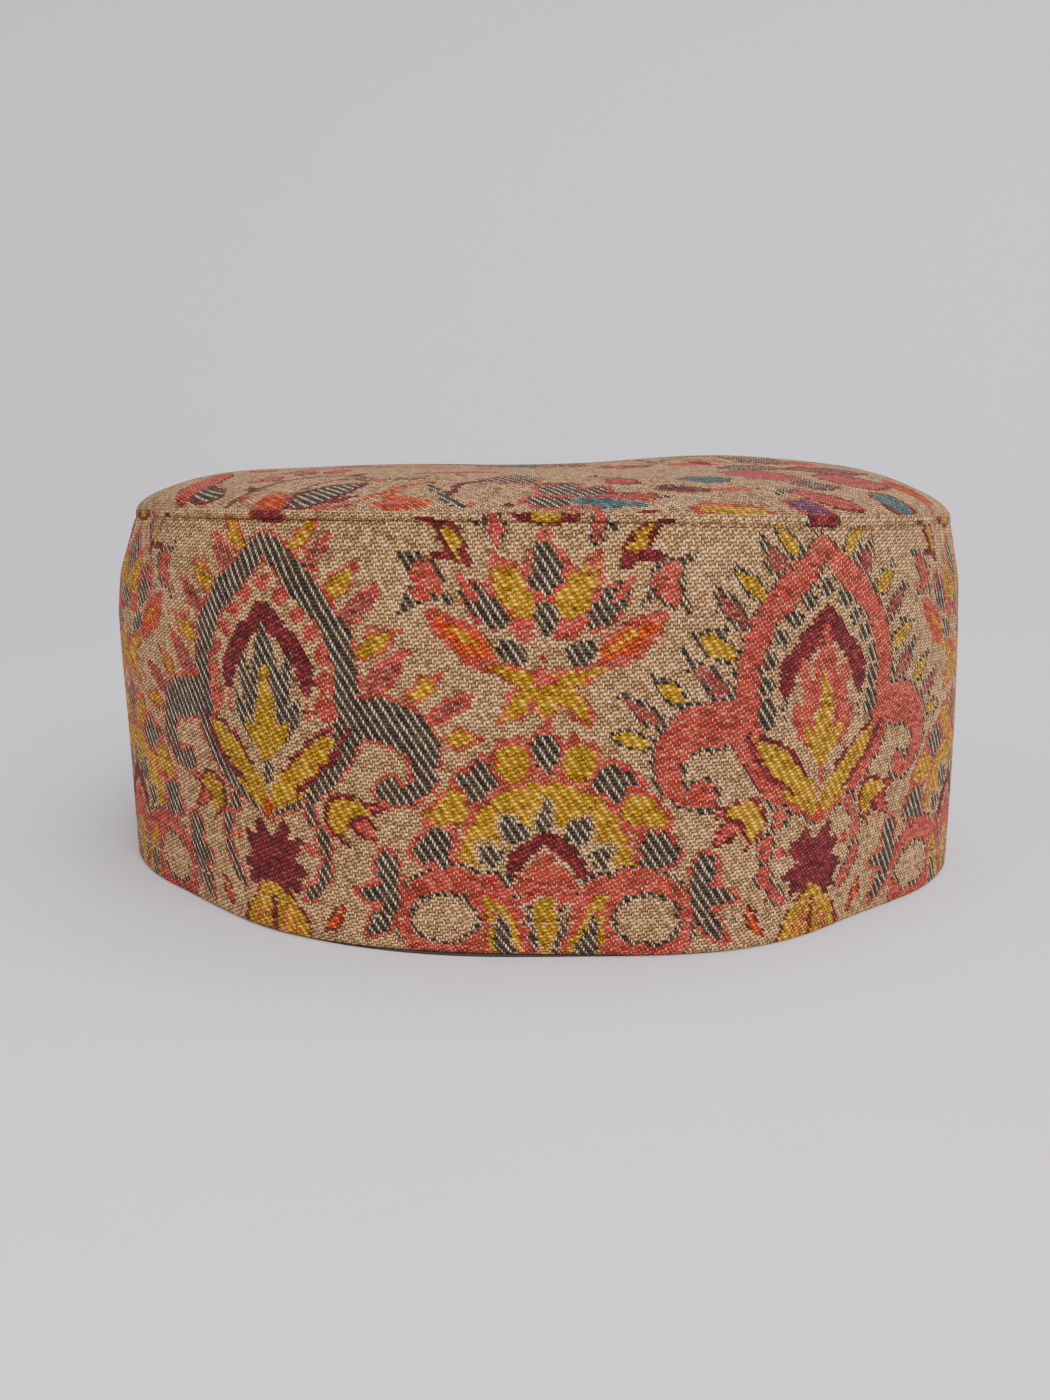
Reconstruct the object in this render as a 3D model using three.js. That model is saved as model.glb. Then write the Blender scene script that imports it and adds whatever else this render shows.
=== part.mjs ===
// A round kani-weave cap, standing on its rim: an upright side band, a soft domed crown,
// the rolled lip of the seam that joins them, and a dark lining that shows under the front rim.
// Millimetres. +Z is up, -Y is the front of the cap and +X is its right side as seen from the front.
// The origin is on the surface the cap stands on, below the middle of the cap.
import * as THREE from "three";

// Plan and height of the cap, measured on the outside of the cloth
const HALF_WIDTH = 94.6;
const HALF_DEPTH = 91.0;
const SEAM_HEIGHT = 75.0;
const BAND_BELLY = 0.8; // how far the wall swells at half height
const BAND_DRAW_IN = 1.5; // how far the seam pulls the top of the wall inwards
const DRAW_IN_FROM = 0.82; // share of the wall's height where that pull starts
const SIDEWAYS_LEAN = -0.9; // how far the seam sits to the left of the rim

// Crown: a pillow that leaves the seam upright and flattens towards the middle
const CROWN_RISE = 10.0;
const CROWN_FULLNESS = 3.5; // exponent across the crown: larger keeps it flat further out
const SHOULDER_SQUARENESS = 0.5; // exponent of the rise: smaller makes the shoulder squarer
const SIDE_DIP = 1.5; // how far the seam hangs lower at both sides
const DIP_HALF_ANGLE = 42; // degrees either side of +X and -X over which it hangs

// Cloth
const BAND_CLOTH = 1.6; // cloth and stiffening of the side band
const CROWN_CLOTH = 1.6;
const LINING_CLOTH = 1.0;
const GAP = 0.3; // clear space between neighbouring pieces
const RIM_FOLD = 0.5; // rounding of the fold along the rim

// Rolled lip of the crown seam
const LIP_HEIGHT = 1.5;
const LIP_PROUD = 0.5; // how far it stands out from the wall
const LIP_SIDES = 8;

// Stretches of the rim that stand out from the oval (+) or lie inside it (-).
// at and spread are degrees round from the front, out is millimetres at the rim.
const RIM_SWELLS = [
  { at: -66, spread: 14, out: 1.4 },
  { at: -48, spread: 12, out: -1.6 },
  { at: -29, spread: 14, out: 1.0 },
  { at: 2, spread: 12, out: -1.6 },
  { at: 25, spread: 12, out: 0.8 },
  { at: 42, spread: 12, out: -2.2 },
  { at: 66, spread: 14, out: 1.6 },
  { at: 128, spread: 18, out: -1.4 },
  { at: 176, spread: 26, out: -1.0 },
  { at: -132, spread: 20, out: -1.2 },
];

// Soft upright dents and ridges of the wall, deepest at height share up.
const WALL_DENTS = [
  { at: -57, spread: 7, up: 0.92, tall: 0.22, out: -1.3 },
  { at: -70, spread: 8, up: 0.8, tall: 0.3, out: 0.7 },
  { at: 57, spread: 7, up: 0.9, tall: 0.24, out: -1.2 },
  { at: -12, spread: 16, up: 0.35, tall: 0.3, out: -0.7 },
  { at: 30, spread: 18, up: 0.6, tall: 0.3, out: 0.6 },
  { at: 104, spread: 12, up: 0.55, tall: 0.35, out: -1.2 },
  { at: 150, spread: 14, up: 0.7, tall: 0.3, out: -0.9 },
  { at: -112, spread: 13, up: 0.5, tall: 0.35, out: -1.1 },
  { at: -158, spread: 14, up: 0.4, tall: 0.3, out: 0.8 },
];

// Broad swells and hollows of the crown: x, y is the middle, wide and deep are spreads.
const CROWN_SWELLS = [
  { x: 46, y: 5, wide: 38, deep: 60, up: 4.0 },
  { x: 77, y: 0, wide: 17, deep: 50, up: 2.8 },
  { x: -46, y: 0, wide: 40, deep: 60, up: 0.6 },
  { x: -76, y: 4, wide: 16, deep: 50, up: 1.0 },
  { x: -8, y: 42, wide: 40, deep: 22, up: -1.6 },
  { x: 10, y: -52, wide: 44, deep: 16, up: -1.2 },
];

// The front of the band's rim is lifted a little, so that the lining shows below it.
const RIM_LIFT = { at: -9, spread: 26, up: 0.7 };

// Fineness of the facets
const ROUND_STEPS = 80;
const BAND_ROWS = 7;
const CROWN_ROWS = 7;
const EDGE_CROWDING = 2.2; // packs the crown's rows towards its shoulder
const TINY = 1e-3; // step for slopes, in shares and radians

const RADIANS = Math.PI / 180;
const RIM = 0; // along: 0 is the rim, 1 the seam and 2 the middle of the crown
const SEAM = 1;
const MIDDLE = 2;

// Degrees between two directions, from -180 to 180.
const turnBetween = (a, b) => ((((a - b + 180) % 360) + 360) % 360) - 180;

// A bell curve that is 1 at zero.
const bell = (x) => Math.exp(-x * x);

// Distance from the axis of the wall's outer face, at a direction in radians and a height share.
function wallRadius(angle, share) {
  const degrees = angle / RADIANS;
  let radius = 1 / Math.hypot(Math.sin(angle) / HALF_WIDTH, Math.cos(angle) / HALF_DEPTH);
  radius += BAND_BELLY * Math.sin(Math.PI * share);
  radius -= BAND_DRAW_IN * THREE.MathUtils.smoothstep(share, DRAW_IN_FROM, 1);
  for (const { at, spread, out } of RIM_SWELLS) {
    radius += out * bell(turnBetween(degrees, at) / spread) * (1 - share);
  }
  for (const { at, spread, up, tall, out } of WALL_DENTS) {
    radius += out * bell(turnBetween(degrees, at) / spread) * bell((share - up) / tall);
  }
  return radius;
}

// Height of the crown seam at a direction.
function seamHeight(angle) {
  const fromSide = Math.abs(Math.abs(turnBetween(angle / RADIANS, 0)) - 90);
  return SEAM_HEIGHT - SIDE_DIP * THREE.MathUtils.smoothstep(DIP_HALF_ANGLE - fromSide, 0, DIP_HALF_ANGLE);
}

function wallPoint(angle, share) {
  const radius = wallRadius(angle, share);
  return new THREE.Vector3(
    radius * Math.sin(angle) + SIDEWAYS_LEAN * (share - 0.5),
    -radius * Math.cos(angle),
    seamHeight(angle) * share,
  );
}

// The crown at a direction, out = 1 on the seam and 0 in the middle.
function crownPoint(angle, out) {
  const edge = wallPoint(angle, 1);
  const point = new THREE.Vector3(edge.x * out, edge.y * out, 0);
  const top = SEAM_HEIGHT + CROWN_RISE;
  const rise = Math.pow(1 - Math.pow(out, CROWN_FULLNESS), SHOULDER_SQUARENESS);
  point.z = edge.z + (top - edge.z) * rise;
  for (const { x, y, wide, deep, up } of CROWN_SWELLS) {
    point.z += up * rise * bell((point.x - x) / wide) * bell((point.y - y) / deep);
  }
  return point;
}

// The cap's outer face as one sheet, from the rim over the seam to the middle of the crown.
function capPoint(angle, along) {
  if (along <= SEAM) return wallPoint(angle, along);
  return crownPoint(angle, 1 - Math.pow(along - SEAM, EDGE_CROWDING));
}

// The outward direction of that sheet. It is level along the rim, so that the rim's fold lies flat.
function capNormal(angle, along) {
  if (along > MIDDLE - 2 * TINY) return new THREE.Vector3(0, 0, 1);
  const round = capPoint(angle + TINY, along).sub(capPoint(angle - TINY, along));
  const up = capPoint(angle, along + TINY).sub(capPoint(angle, Math.max(RIM, along - TINY)));
  const normal = round.cross(up);
  if (along === RIM) normal.z = 0;
  return normal.normalize();
}

const level = () => 0;

// A piece of cloth as a closed solid. Its stations go once round its section: along says where
// on the cap's sheet, depth how far under it, and lift how much higher at a direction, in millimetres.
function clothPiece(stations) {
  const last = stations.length - 1;
  const flat = stations.map(({ along }, i) => new THREE.Vector2(along === MIDDLE ? 0 : 1, i / last));
  const geometry = new THREE.LatheGeometry(flat, ROUND_STEPS);
  const position = geometry.getAttribute("position");
  for (let i = 0; i < position.count; i++) {
    const step = Math.floor(i / stations.length);
    const angle = ((step % ROUND_STEPS) / ROUND_STEPS) * 2 * Math.PI;
    const { along, depth, lift = level } = stations[i % stations.length];
    const point = capPoint(angle, along).addScaledVector(capNormal(angle, along), -depth);
    position.setXYZ(i, point.x, point.y, point.z + lift(angle));
  }
  return geometry;
}

// Evenly spaced places from one to another, both included.
const places = (from, to, steps) =>
  Array.from({ length: steps + 1 }, (_, i) => from + ((to - from) * i) / steps);

// Rows shared by the faces of all pieces, so that the gaps between them stay even.
const BAND_TOP = SEAM - (LIP_HEIGHT / 2 + GAP) / SEAM_HEIGHT;
const FOLD_TOP = (2 * RIM_FOLD) / SEAM_HEIGHT;
const wallRows = places(FOLD_TOP, BAND_TOP, BAND_ROWS);
const crownRows = places(SEAM, MIDDLE, CROWN_ROWS);

// How far the band's rim is off the ground at a direction.
const rimLift = (angle) =>
  RIM_LIFT.up * bell(turnBetween(angle / RADIANS, RIM_LIFT.at) / RIM_LIFT.spread);

function sideBand() {
  const face = (depth) => wallRows.map((along) => ({ along, depth }));
  const outer = face(0);
  const rim = [BAND_CLOTH - RIM_FOLD, RIM_FOLD].map((depth) => ({ along: RIM, depth, lift: rimLift }));
  return clothPiece([...outer, ...face(BAND_CLOTH).reverse(), ...rim, outer[0]]);
}

// The section starts and ends in the middle of the crown, where both faces meet the axis.
function crownPanel() {
  const aboveLip = () => LIP_HEIGHT / 2 + GAP;
  const liftAt = (along) => (along === SEAM ? aboveLip : level);
  const face = (depth) => crownRows.map((along) => ({ along, depth, lift: liftAt(along) }));
  return clothPiece([...face(CROWN_CLOTH).reverse(), ...face(0)]);
}

// The lip's section is a flattened ring of LIP_SIDES that stands proud of the wall.
function seamLip() {
  const half = (BAND_CLOTH + LIP_PROUD) / 2;
  const section = places(0, 2 * Math.PI, LIP_SIDES).map((turn) => ({
    along: SEAM,
    depth: half - LIP_PROUD - half * Math.cos(turn),
    lift: () => (LIP_HEIGHT / 2) * Math.sin(turn),
  }));
  return clothPiece(section);
}

// One cup of cloth inside the band and the crown.
function lining() {
  const clear = BAND_CLOTH + GAP;
  const face = (depth) => [RIM, ...wallRows, ...crownRows].map((along) => ({ along, depth }));
  return clothPiece([...face(clear + LINING_CLOTH).reverse(), ...face(clear)]);
}

// Colours are those of the cloth as seen from a distance.
const kaniCloth = new THREE.MeshStandardMaterial({ color: 0xb08463, roughness: 0.92, metalness: 0 });
const crownCloth = new THREE.MeshStandardMaterial({ color: 0xb18b68, roughness: 0.92, metalness: 0 });
const liningCloth = new THREE.MeshStandardMaterial({ color: 0x2a211d, roughness: 0.75, metalness: 0 });

const cap = new THREE.Group();
cap.name = "kani_cap";
const pieces = [
  ["side_band", sideBand(), kaniCloth],
  ["crown_panel", crownPanel(), crownCloth],
  ["seam_lip", seamLip(), kaniCloth],
  ["lining", lining(), liningCloth],
];
for (const [name, geometry, material] of pieces) {
  const piece = new THREE.Mesh(geometry, material);
  piece.name = name;
  cap.add(piece);
}

export default cap;
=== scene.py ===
# A round kani-weave cap, standing on its rim on pale paper.
# Lengths are millimetres until a mesh is made, and turns are degrees round from the front.
import bpy
import numpy as np
from math import radians
from mathutils import Matrix, Vector


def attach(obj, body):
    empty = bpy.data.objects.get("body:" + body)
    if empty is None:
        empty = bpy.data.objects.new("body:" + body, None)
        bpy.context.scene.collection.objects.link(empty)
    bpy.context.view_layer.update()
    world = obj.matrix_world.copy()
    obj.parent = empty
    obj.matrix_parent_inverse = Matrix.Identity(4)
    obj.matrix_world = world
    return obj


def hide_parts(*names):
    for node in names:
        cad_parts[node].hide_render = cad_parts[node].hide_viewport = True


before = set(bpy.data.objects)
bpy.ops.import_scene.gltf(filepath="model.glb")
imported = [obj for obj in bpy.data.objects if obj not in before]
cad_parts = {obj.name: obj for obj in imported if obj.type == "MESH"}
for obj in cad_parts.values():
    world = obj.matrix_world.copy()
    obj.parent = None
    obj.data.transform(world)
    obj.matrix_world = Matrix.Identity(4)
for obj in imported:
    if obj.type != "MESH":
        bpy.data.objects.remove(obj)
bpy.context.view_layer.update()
print("cap: the packed frame is in")

# The cap's outer sheet. Swells and hollows are rows of where they are, how far they spread
# and how far they stand out.
cap = dict(
    halfWidth=94.6, halfDepth=91.0, seamHeight=75.0, belly=0.8, drawIn=1.5, drawInFrom=0.82, lean=-0.9,
    crownRise=10.0, fullness=3.5, squareness=0.5, sideDip=1.5, dipHalfAngle=42.0,
    frontEase=0.24, frontEaseSpread=48.0, softShoulders=[(-90, 34, 2.3), (92, 34, 0.5)], softFrom=0.68,
    rimSwells=[(-66, 14, 1.4), (-48, 12, -1.6), (-29, 14, 1.0), (2, 12, -1.6), (25, 12, 0.8), (42, 12, -2.2),
               (66, 14, 1.6), (128, 18, -1.4), (176, 26, -1.0), (-132, 20, -1.2)],
    wallDents=[(-57, 7, 0.92, 0.22, -1.3), (-70, 8, 0.8, 0.3, 0.7), (57, 7, 0.9, 0.24, -1.2),
               (-12, 16, 0.35, 0.3, -0.7), (30, 18, 0.6, 0.3, 0.6), (104, 12, 0.55, 0.35, -1.2),
               (150, 14, 0.7, 0.3, -0.9), (-112, 13, 0.5, 0.35, -1.1), (-158, 14, 0.4, 0.3, 0.8),
               (-90, 30, 0.7, 0.22, 0.7)],
    crownSwells=[(46, 5, 38, 60, 4.0), (77, 0, 17, 50, 2.8), (-46, 0, 40, 60, 0.6), (-75, 2, 17, 50, 2.0),
                 (-8, 42, 40, 22, -1.6), (10, -52, 44, 16, -1.2)],
    rimLift=(-9, 26, 0.7),
)
rimLength = 587.5
warpPitch, weftPitch = 0.41, 0.605


# A bell: e to the minus x squared.
def bell(x):
    return np.exp(-np.square(x))


# A soft step: t t (3 - 2 t), with t held between 0 and 1.
def softStep(t):
    t = np.clip(t, 0, 1)
    return t * t * (3 - 2 * t)


# The shorter way from one turn to another, from -180 to 180.
def turnTo(turn, at):
    return (turn - at + 180) % 360 - 180


# Level direction away from the cap's axis.
def outwards(turn):
    a = np.radians(turn)
    return np.stack((np.sin(a), -np.cos(a), 0 * a), -1)


# How far round a turn is from the nearer side.
def fromSide(turn):
    return np.abs(np.abs(turnTo(turn, 0)) - 90)


# Seam height: 75, less 1.5 times a soft step within 42 degrees of either side.
def seamAt(turn):
    near = (cap["dipHalfAngle"] - fromSide(turn)) / cap["dipHalfAngle"]
    return cap["seamHeight"] - cap["sideDip"] * softStep(near)


# Wall: the oval's radius, plus a sine belly, less a draw-in at the top and softer shoulders at the sides,
# plus bells for the rim's swells and the wall's dents.
def wallAt(turn, share):
    a = np.radians(turn)
    radius = 1 / np.hypot(np.sin(a) / cap["halfWidth"], np.cos(a) / cap["halfDepth"])
    radius = radius + cap["belly"] * np.sin(np.pi * share)
    radius = radius - cap["drawIn"] * softStep((share - cap["drawInFrom"]) / (1 - cap["drawInFrom"]))
    high = np.clip((share - cap["softFrom"]) / (1 - cap["softFrom"]), 0, 1)
    for at, spread, out in cap["softShoulders"]:
        radius = radius - out * bell(turnTo(turn, at) / spread) * high ** 2
    for at, spread, out in cap["rimSwells"]:
        radius = radius + out * bell(turnTo(turn, at) / spread) * (1 - share)
    for at, spread, up, tall, out in cap["wallDents"]:
        radius = radius + out * bell(turnTo(turn, at) / spread) * bell((share - up) / tall)
    x, y = radius * np.sin(a) + cap["lean"] * (share - 0.5), -radius * np.cos(a)
    return np.stack(np.broadcast_arrays(x, y, seamAt(turn) * share), -1)


# Crown: the seam's plan shrunk by out, raised by (1 - out^3.5)^p with p larger at the front, plus swells.
def crownAt(turn, out):
    edge = wallAt(turn, np.ones_like(out))
    x, y, base = edge[..., 0] * out, edge[..., 1] * out, edge[..., 2]
    power = cap["squareness"] + cap["frontEase"] * bell(turnTo(turn, 0) / cap["frontEaseSpread"])
    rise = np.clip(1 - out ** cap["fullness"], 0, None) ** power
    z = base + (cap["seamHeight"] + cap["crownRise"] - base) * rise
    for cx, cy, wide, deep, up in cap["crownSwells"]:
        z = z + up * rise * bell((x - cx) / wide) * bell((y - cy) / deep)
    return np.stack((x, y, z), -1)


# Folds: a sum of slow sines round the cap, each leaning with height, from one seeded draw.
def foldsAt(turn, height, seed, count, size):
    draw = np.random.default_rng(seed)
    total = 0
    for _ in range(count):
        times, lean, phase = draw.integers(7, 34), draw.uniform(-0.02, 0.02), draw.uniform(0, 2 * np.pi)
        total = total + np.sin(np.radians(turn) * times + lean * height + phase) / times ** 0.7
    return total * size


# Adds a mesh: points in millimetres, faces as lists, and the cloth place and thread colour of each corner.
def addPiece(name, points, faces, material, cloth=None, thread=None):
    mesh = bpy.data.meshes.new(name)
    mesh.from_pydata((np.asarray(points) * 0.001).tolist(), [], faces)
    mesh.polygons.foreach_set("use_smooth", np.ones(len(mesh.polygons), bool))
    if cloth is not None:
        mesh.uv_layers.new(name="cloth").uv.foreach_set("vector", np.asarray(cloth, np.float32).ravel())
    if thread is not None:
        layer = mesh.attributes.new("thread", "FLOAT_COLOR", "CORNER")
        layer.data.foreach_set("color", np.asarray(thread, np.float32).ravel())
    mesh.materials.append(material)
    mesh.update()
    piece = bpy.data.objects.new(name, mesh)
    bpy.context.collection.objects.link(piece)
    return piece


# Faces between rings: corner (ring, column) joins the next ring and the next column. The last column joins
# the first, and in a closed row of rings the last ring the first.
def ringFaces(rings, columns, closed):
    ring = np.arange(rings if closed else rings - 1)[:, None]
    column = np.arange(columns)[None]
    after, beside = (ring + 1) % rings, (column + 1) % columns
    places = (ring, column), (ring, beside), (after, beside), (after, column)
    corners = [r * columns + c for r, c in places]
    return np.stack(np.broadcast_arrays(*corners), -1).reshape(-1, 4)


# A screen colour from 0 to 255 as light: ((c + 0.055) / 1.055)^2.4.
def light(colour):
    c = np.asarray(colour, float) / 255
    return np.where(c <= 0.04045, c / 12.92, ((c + 0.055) / 1.055) ** 2.4)


# The dyed threads: a colour, how much it hides the warps and how far its palest floats are faded.
dyes = dict(
    ground=(200, 154, 102, 0.0, 0.0), coral=(202, 30, 42, 0.72, 0.22), dark=(34, 26, 14, 0.36, 0.03),
    yellow=(214, 158, 14, 0.96, 0.06), maroon=(122, 24, 40, 0.95, 0.06), orange=(222, 78, 10, 0.96, 0.08),
    teal=(46, 108, 112, 0.88, 0.15), purple=(112, 44, 98, 0.86, 0.15), brown=(96, 52, 34, 0.74, 0.1),
    crimson=(146, 28, 50, 0.76, 0.25),
)
dyeNames = list(dyes)
dyeTable = np.array([[*light(dyes[name][:3]), dyes[name][3]] for name in dyeNames])
fadeTable = np.array([dyes[name][4] for name in dyeNames])
yarn = dict(palest=(232, 176, 140), uneven=0.2, darkShare=0.06, darker=0.55)


# Colours of the floats, four corners each: some faded towards the palest yarn, all uneven, a few far darker.
def dyedFloats(cells, seed):
    dice = np.random.default_rng(seed).random((3, len(cells)))
    fade = (fadeTable[cells] * dice[0] ** 2)[:, None]
    colours = dyeTable[cells][:, :3] * (1 - fade) + light(yarn["palest"]) * fade
    shade = 1 + yarn["uneven"] * (2 * dice[1] - 1)
    shade = np.where(dice[2] < yarn["darkShare"], shade * yarn["darker"], shade)
    return np.repeat(np.column_stack([colours * shade[:, None], dyeTable[cells][:, 3]]), 4, axis=0)


# Leaf outlines as powers of the share from base to tip: s^a (1 - s)^b.
profiles = dict(leaf=(0.6, 0.8), drop=(0.95, 0.42), spike=(0.1, 0.85), seed=(0.5, 0.5), flame=(0.7, 1.3))


# Leaf: distance across its axis, less half its width there.
def leafShape(x, y, baseX, baseY, tipX, tipY, width, profile):
    rise, fall = profiles[profile]
    along = tipX - baseX, tipY - baseY
    length = np.hypot(*along)
    dx, dy = x - baseX, y - baseY
    share = (dx * along[0] + dy * along[1]) / length ** 2
    across = np.abs(dx * along[1] - dy * along[0]) / length
    inside = np.clip(share, 1e-6, 1 - 1e-6)
    peak = (rise / (rise + fall)) ** rise * (fall / (rise + fall)) ** fall
    halfWidth = width / 2 * inside ** rise * (1 - inside) ** fall / peak
    return np.maximum(across - halfWidth, np.maximum(-share, share - 1) * length)


# Oval: how far the turned and scaled radius is past 1.
def ovalShape(x, y, middleX, middleY, wide, tall, tilt=0):
    a = np.radians(tilt)
    dx, dy = x - middleX, y - middleY
    p = (dx * np.cos(a) + dy * np.sin(a)) / wide
    q = (dy * np.cos(a) - dx * np.sin(a)) / tall
    return (np.hypot(p, q) - 1) * min(wide, tall)


# Stroke: distance to a smooth curve through rows of x, y and width, less half the width there.
def strokeShape(x, y, *points):
    knots = np.array(points, float)
    knots = np.vstack([2 * knots[0] - knots[1], knots, 2 * knots[-1] - knots[-2]])
    t = np.linspace(0, 1, 7)[:, None]
    spans = [0.5 * (2 * b + (c - a) * t + (2 * a - 5 * b + 4 * c - d) * t ** 2
                    + (3 * b - a - 3 * c + d) * t ** 3)
             for a, b, c, d in zip(knots, knots[1:], knots[2:], knots[3:])]
    path = np.vstack(spans)
    nearest = np.full(np.shape(x), 1e9)
    for start, end in zip(path, path[1:]):
        step = end[:2] - start[:2]
        s = np.clip(((x - start[0]) * step[0] + (y - start[1]) * step[1]) / max(step @ step, 1e-9), 0, 1)
        gap = np.hypot(x - start[0] - s * step[0], y - start[1] - s * step[1])
        nearest = np.minimum(nearest, gap - (start[2] + (end[2] - start[2]) * s) / 2)
    return nearest


# Rows of the charts: shapes of one kind in one thread, and the thread and width of their outlines. A leaf is
# x and y of its base, x and y of its tip, and its width.
def leaves(places, fill, outline=None, edge=0, profile="leaf"):
    return leafShape, [(*place, profile) for place in places], fill, outline, edge


# An oval is x and y of its middle, its two radii and its tilt.
def ovals(places, fill, outline=None, edge=0):
    return ovalShape, places, fill, outline, edge


# A stroke is a row of points, each x, y and width.
def strokes(places, fill, outline=None, edge=0):
    return strokeShape, places, fill, outline, edge


# The weaver's charts, in millimetres. A motif is a list of layers, and a layer a list of rows. The palmette
# and the fan stand on both sides of the middle of a repeat.
palmette = [
    [leaves([(2.6, 59, 8.4, 67.6, 5.3)], "yellow", "coral", 1),
     leaves([(6.8, 66, 9.4, 69.6, 1.3), (0, 69, 0, 73.2, 2), (8, 50.7, 20.6, 59.8, 6.2)], "coral"),
     ovals([(3.8, 56.9, 2.5, 1.9, 32)], "coral"),
     leaves([(7, 57, 14, 64, 4.5)], "dark", "coral", 0.5, profile="seed"),
     leaves([(11.4, 61, 15, 66.2, 1.7)], "coral")],
    [leaves([(0, 62, 0, 70.6, 5.3)], "dark", "coral", 1.1, profile="seed"),
     leaves([(9, 51.8, 18.6, 58.3, 3.7)], "orange"),
     leaves([(10.5, 53.4, 16, 57.2, 1)], "yellow"),
     ovals([(6, 53.2, 2.9, 1.9, 30)], "dark", "ground", 0.5)],
    [leaves([(0, 54.8, 0, 61, 3.7)], "dark", "ground", 0.5, profile="drop"),
     strokes([[(9.3, 50.7, 0.9), (5.6, 49.4, 2), (2.4, 47.9, 3), (0, 46.8, 4.4)]], "yellow", "coral", 0.7),
     leaves([(2, 47.8, 7.3, 41.7, 3.1)], "yellow", "coral", 0.8),
     leaves([(0, 48, 0, 41.9, 3.9)], "yellow", "coral", 0.7)],
    [leaves([(0, 47.6, 0, 52.4, 4.2)], "coral", profile="spike"),
     leaves([(0, 49.8, 0, 51.4, 1.2)], "ground")],
    [strokes([[(14.3, 68.6, 1.6), (15.5, 70.9, 2.3), (17.6, 73.2, 1.5)]], "yellow", "maroon", 0.9),
     leaves([(14.6, 69.6, 12.5, 66.3, 1.8), (15.4, 68.8, 20.2, 68.3, 1.7),
             (17.2, 73.4, 22.8, 75.6, 2.2)], "maroon"),
     leaves([(17.4, 62.6, 23.4, 67.9, 4), (17.6, 64.8, 23.4, 60.9, 3.2)], "coral", "dark", 0.7),
     leaves([(22.4, 66.8, 25.8, 69.2, 1.3), (22.4, 62, 24.6, 58.8, 1.3), (17.9, 63.4, 15.8, 60.4, 1.4),
             (17, 65.6, 19.4, 67.2, 1.2), (10, 73.2, 13.8, 75.3, 1.6)], "dark"),
     leaves([(8.2, 70.4, 9.4, 78, 2.4)], "coral", "dark", 0.6),
     ovals([(0, 75.8, 2.8, 1.8)], "yellow", "maroon", 0.9),
     leaves([(1.6, 73.8, 6.6, 77, 1.8)], "maroon")],
]
fan = [
    [ovals([(0, 16.5, 14.9, 15)], "yellow", "coral", 0.7)],
    [ovals([(0, 13.2, 12.6, 10.6), (13.4, 11.2, 4.6, 5.7)], "ground"),
     leaves([(0, 21.6, 0, 29.4, 5)], "ground", profile="spike"),
     leaves([(4.2, 19.4, 8, 26, 5.8), (7.6, 17.2, 12.6, 20.6, 5.2)], "ground")],
    [leaves([(0, 22.8, 0, 28.8, 2.8)], "dark", profile="spike"),
     leaves([(4.6, 20.4, 7.5, 25.4, 4.3), (5.6, 21.2, 2.9, 23.6, 2.2), (8.2, 16.8, 11.5, 20.1, 3.3),
             (9.4, 17.4, 7.4, 19.4, 1.9)], "dark"),
     strokes([[(0, 21.8, 2.6), (2.6, 20.1, 2.7), (5.2, 17.3, 2.6), (6.9, 14.4, 2)]], "maroon"),
     strokes([[(7, 14.2, 1.5), (7.2, 12.8, 1)]], "dark")],
    [leaves([(0, 8.4, 0, 19.8, 11.4)], "coral", profile="flame")],
]
wheel = [
    [ovals([(16.3, 6.2, 10.1, 10.1)], "coral", "dark", 0.6),
     strokes([[(10.2, 12.6, 5.6), (7.4, 10.4, 3.8), (5.2, 6.6, 2.3),
              (3.3, 0.4, 2.3)]], "coral", "dark", 0.6)],
    [leaves([(7.6, -2.4, 8, 8.8, 3.6)], "dark", "ground", 0.4),
     leaves([(0.1, 0.4, 0.1, 11.4, 4.2)], "yellow", "ground", 0.5, profile="drop")],
    [strokes([[(4.5, 1, 1), (6.1, 5.6, 1.2), (8, 8.9, 1.3), (10.3, 11.2, 1.1)], [(10.2, 11, 1),
              (9.8, 6, 0.9), (9.5, 0.4, 0.9)]], "yellow"),
     strokes([[(3.3, 9.4, 0.9), (2.6, 5.6, 0.9), (1.8, 1.2, 1.1)]], "dark"),
     ovals([(18, 6.9, 5.3, 4.3)], "ground", "dark", 0.8)],
]
fanPetals = [
    [leaves([(0, 32.4, 0, 39.6, 4.6)], "dark", "coral", 1.2, profile="drop"),
     ovals([(0, 39.9, 1.8, 0.6)], "coral"),
     ovals([(5.6, 34.6, 2.7, 3.3, -12), (6.9, 36, 1.8, 1.7)], "yellow", "coral", 0.8),
     leaves([(4.2, 37.4, 4.6, 40.2, 1.8), (7.4, 37.2, 9.2, 38.8, 1.6)], "coral"),
     ovals([(11, 33.1, 1.8, 1.7), (13.7, 31.4, 2, 1.4), (9.8, 31.2, 1.8, 1.3), (12.2, 29.7, 1.9, 1.9),
            (19.3, 20.4, 2.9, 2.6), (21.3, 18.6, 2, 1.9), (18.5, 18.2, 2, 1.9)], "dark", "coral", 0.9),
     ovals([(16.2, 26.5, 3, 2.7), (18.6, 25, 2.1, 1.6)], "yellow", "coral", 0.9)],
]
oakSpray = [
    [ovals([(28.2, 15.6, 2.2, 2.7), (27.6, 11.2, 2.1, 4)], "dark", "coral", 0.8),
     leaves([(26.6, 11.4, 34.2, 10.2, 3.2), (26.8, 9, 32.4, 2.4, 3.8)], "dark", "coral", 0.8)],
]

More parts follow.
